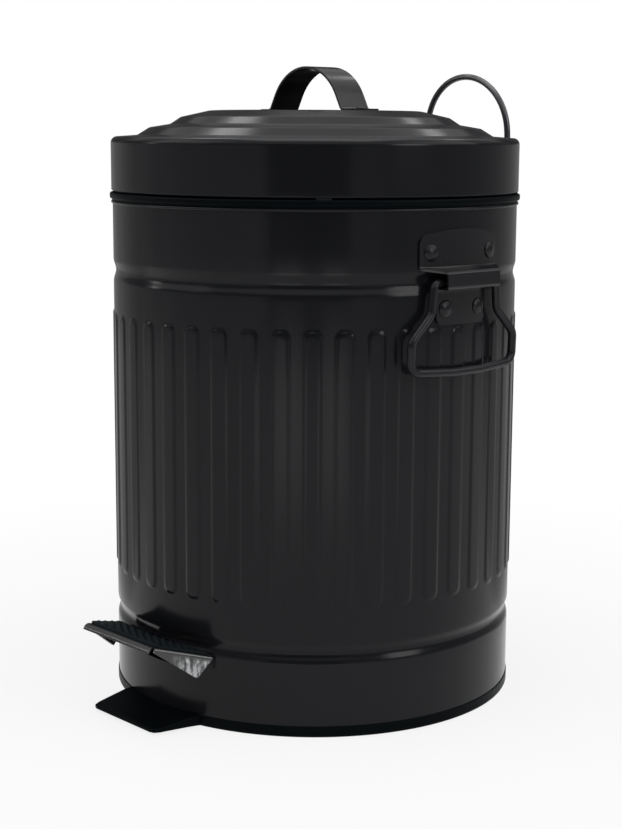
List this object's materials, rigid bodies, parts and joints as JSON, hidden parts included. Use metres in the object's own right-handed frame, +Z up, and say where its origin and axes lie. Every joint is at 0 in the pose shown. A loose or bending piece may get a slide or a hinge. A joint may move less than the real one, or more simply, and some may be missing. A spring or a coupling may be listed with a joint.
{
  "type": "pedal bin",
  "caption": "Small round pedal bin in painted sheet steel with a ribbed body, stepped domed lid, drop handles, rear carrying bail and a lift-out inner bucket.",
  "frame": {"origin": "centre of the base's underside, on the axis of the round body, at floor level", "axes": "+Z up; the pedal is at -Y, the lid hinge at +Y, and the two drop handles at +X and -X"},
  "size_m": [0.2166, 0.2423, 0.3091],
  "materials": {
    "body_paint": "charcoal gloss enamel",
    "lid_paint": "charcoal gloss enamel",
    "handle_paint": "charcoal gloss enamel",
    "wire_paint": "black gloss enamel on wire",
    "rivet_paint": "gloss enamel over the rivet",
    "pedal_paint": "gloss enamel",
    "black_plastic": "moulded, low sheen",
    "bucket_plastic": "moulded, low sheen",
    "pedal_rubber": "matt black",
    "buffer_rubber": "matt black",
    "zinc_steel": "zinc plated"
  },
  "bodies": {
    "bin": {"base_pan": "black_plastic", "body_shell": "body_paint", "collar_ring": "black_plastic", "lid_buffers": "buffer_rubber", "hinge_bracket": "handle_paint", "hinge_bracket_rivets": "rivet_paint", "hinge_tube": "zinc_steel", "right_handle_bracket": "handle_paint", "left_handle_bracket": "handle_paint", "right_handle_rivets": "rivet_paint", "left_handle_rivets": "rivet_paint", "pivot_bracket": "zinc_steel", "pivot_bracket_rivets": "zinc_steel", "pivot_pin": "zinc_steel", "rod_guide": "black_plastic"},
    "lid": {"lid_shell": "lid_paint", "lid_handle": "handle_paint", "lid_handle_rivets": "rivet_paint", "lid_hinge_leaf": "handle_paint", "lid_hinge_rivets": "rivet_paint", "crank_pin": "zinc_steel"},
    "pedal": {"pedal_plate": "pedal_paint", "pedal_pad": "pedal_rubber", "pedal_rivets": "zinc_steel", "pedal_lever": "zinc_steel"},
    "lift_rod": {"lift_rod": "zinc_steel"},
    "rear_bail": {"rear_bail": "wire_paint"},
    "right_bail": {"right_bail": "wire_paint"},
    "left_bail": {"left_bail": "wire_paint"},
    "bucket": {"inner_bucket": "bucket_plastic"},
    "bucket_bail": {"bucket_bail": "zinc_steel", "bucket_grip": "black_plastic"}
  },
  "joints": [
    {"name": "lid_hinge", "type": "hinge", "parent": "bin", "child": "lid", "pos_m": [0, 0.112, 0.251], "axis": [-1, 0, 0], "range_deg": [0, 75]},
    {"name": "pedal_pivot", "type": "hinge", "parent": "bin", "child": "pedal", "pos_m": [0, -0.052, 0.028], "axis": [1, 0, 0], "range_deg": [0, 8.1]},
    {"name": "rod_slide", "type": "slide", "parent": "bin", "child": "lift_rod", "axis": [0, 0, 1], "range_m": [0, 0.0207]},
    {"name": "rear_bail_hinge", "type": "hinge", "parent": "bin", "child": "rear_bail", "pos_m": [0, 0.112, 0.251], "axis": [-1, 0, 0], "range_deg": [0, 49.6]},
    {"name": "right_bail_hinge", "type": "hinge", "parent": "bin", "child": "right_bail", "pos_m": [0.1026, 0, 0.2103], "axis": [0, -1, 0], "range_deg": [0, 90]},
    {"name": "left_bail_hinge", "type": "hinge", "parent": "bin", "child": "left_bail", "pos_m": [-0.1026, 0, 0.2103], "axis": [0, 1, 0], "range_deg": [0, 90]},
    {"name": "bucket_lift", "type": "slide", "parent": "bin", "child": "bucket", "axis": [0, 0, 1], "range_m": [0, 0.012]},
    {"name": "bucket_bail_hinge", "type": "hinge", "parent": "bucket", "child": "bucket_bail", "pos_m": [0, 0, 0.242], "axis": [-1, 0, 0], "range_deg": [0, 12]}
  ],
  "couplings": [
    {"joint": "pedal_pivot", "follows": "lid_hinge", "ratio": 0.1076},
    {"joint": "rod_slide", "follows": "lid_hinge", "m_per_rad": 0.015812},
    {"joint": "rear_bail_hinge", "follows": "lid_hinge", "ratio": 0.66}
  ]
}
